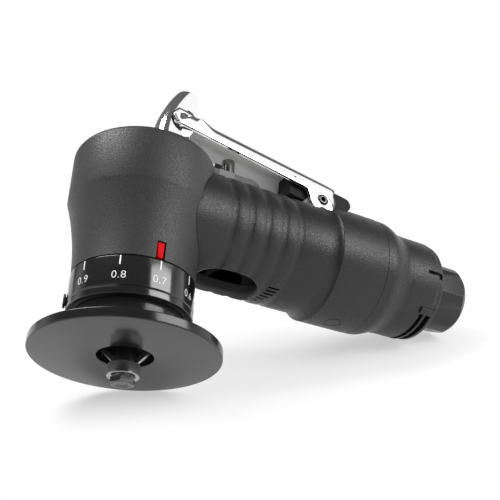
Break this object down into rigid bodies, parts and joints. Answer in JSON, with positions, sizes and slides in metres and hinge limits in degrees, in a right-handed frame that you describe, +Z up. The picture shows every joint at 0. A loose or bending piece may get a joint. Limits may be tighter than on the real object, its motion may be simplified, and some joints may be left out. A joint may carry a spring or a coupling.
{
  "type": "pneumatic chamfering tool",
  "caption": "Air driven right angle chamfering tool: guide disc and depth ring under a round head, grooved handle with a latched throttle lever, hexagon air inlet at the tail.",
  "frame": {"origin": "centre of the guide disc's working face, on the cutter spindle's axis, at the depth shown", "axes": "+Z up the spindle axis into the head, the cutter points to -Z; +X back along the handle to the air inlet; +Y to the tool's left seen from behind"},
  "size_m": [0.1603, 0.06, 0.1142],
  "materials": {
    "casing_black": "fine matt grain",
    "ring_black": "gloss black",
    "disc_black": "satin black",
    "inlet_dark": "satin dark",
    "chrome": "polished",
    "steel": "ground",
    "carbide": "ground",
    "dark_steel": "blackened",
    "alloy": "bead blasted",
    "brass": "turned",
    "pointer_red": "gloss red",
    "heel_black": "matt",
    "vane_brown": "matt",
    "seal": "matt",
    "felt": "felt"
  },
  "bodies": {
    "tool_body": {"gear_housing": "alloy", "head_casing": "casing_black", "pointer": "pointer_red", "motor_housing": "alloy", "grip_casing": "casing_black", "rear_casing": "casing_black", "rear_collar": "casing_black", "exhaust_deflector": "casing_black", "silencer_ring": "felt", "inlet_bushing": "inlet_dark", "inlet_screen": "steel", "cylinder_liner": "steel", "front_plate": "steel", "back_plate": "steel", "lower_bearing_outer": "steel", "upper_bearing_outer": "steel", "pinion_bearing_outer": "steel", "rotor_bearing_outer": "steel", "valve_bushing": "brass", "valve_spring": "steel", "ring_clip": "dark_steel", "guide_key": "steel"},
    "rotor_group": {"rotor": "steel", "vanes": "vane_brown", "bevel_pinion": "steel", "pinion_bearing_inner": "steel", "rotor_bearing_inner": "steel"},
    "spindle_group": {"spindle": "steel", "bevel_gear": "steel", "lower_bearing_inner": "steel", "upper_bearing_inner": "steel", "cutter_body": "dark_steel", "cutter_inserts": "carbide", "guide_roller_inner": "steel", "bolt_washer": "steel", "guide_bolt": "steel"},
    "roller_group": {"guide_roller_outer": "steel"},
    "lever_group": {"throttle_lever": "chrome", "lever_heel": "heel_black", "lever_pin": "dark_steel", "latch_pin": "dark_steel", "latch_spring": "dark_steel"},
    "latch_group": {"safety_latch": "chrome"},
    "stem_group": {"valve_stem": "dark_steel", "stem_seal": "seal"},
    "ring_group": {"depth_ring": "ring_black"},
    "lock_group": {"lock_screw": "dark_steel"},
    "disc_group": {"guide_disc": "disc_black"}
  },
  "joints": [
    {"name": "rotor_spin", "type": "hinge", "parent": "tool_body", "child": "rotor_group", "pos_m": [0.05, 0, 0.0523], "axis": [1, 0, 0], "continuous": true},
    {"name": "spindle_spin", "type": "hinge", "parent": "tool_body", "child": "spindle_group", "pos_m": [0, 0, 0.03], "axis": [0, 0, 1], "continuous": true},
    {"name": "roller_spin", "type": "hinge", "parent": "spindle_group", "child": "roller_group", "pos_m": [0, 0, -0.0045], "axis": [0, 0, 1], "continuous": true},
    {"name": "lever_press", "type": "hinge", "parent": "tool_body", "child": "lever_group", "pos_m": [0.0685, 0, 0.0763], "axis": [0, -1, 0], "range_deg": [0, 11], "stiffness_Nm_per_rad": 0.5, "springref_deg": -20.05},
    {"name": "stem_press", "type": "slide", "parent": "tool_body", "child": "stem_group", "axis": [0, 0, -1], "range_m": [0, 0.0019], "deforming": ["valve_spring"]},
    {"name": "latch_turn", "type": "hinge", "parent": "lever_group", "child": "latch_group", "pos_m": [0.00979, 0, 0.09216], "axis": [0, 1, 0], "range_deg": [0, 32], "stiffness_Nm_per_rad": 0.05, "springref_deg": -28.65},
    {"name": "ring_turn", "type": "hinge", "parent": "tool_body", "child": "ring_group", "pos_m": [0, 0, 0.0187], "axis": [0, 0, 1], "range_deg": [-252, 108]},
    {"name": "disc_slide", "type": "slide", "parent": "tool_body", "child": "disc_group", "axis": [0, 0, 1], "range_m": [-0.0007, 0.0003]},
    {"name": "lock_turn", "type": "hinge", "parent": "ring_group", "child": "lock_group", "pos_m": [-0.0198, 0.00531, 0.0161], "axis": [-0.9659, 0.2588, 0], "range_deg": [0, 180]}
  ],
  "couplings": [
    {"joint": "spindle_spin", "follows": "rotor_spin", "ratio": 0.66667},
    {"joint": "stem_press", "follows": "lever_press", "m_per_rad": 0.009896},
    {"joint": "ring_turn", "follows": "disc_slide", "rad_per_m": 6283.2}
  ]
}
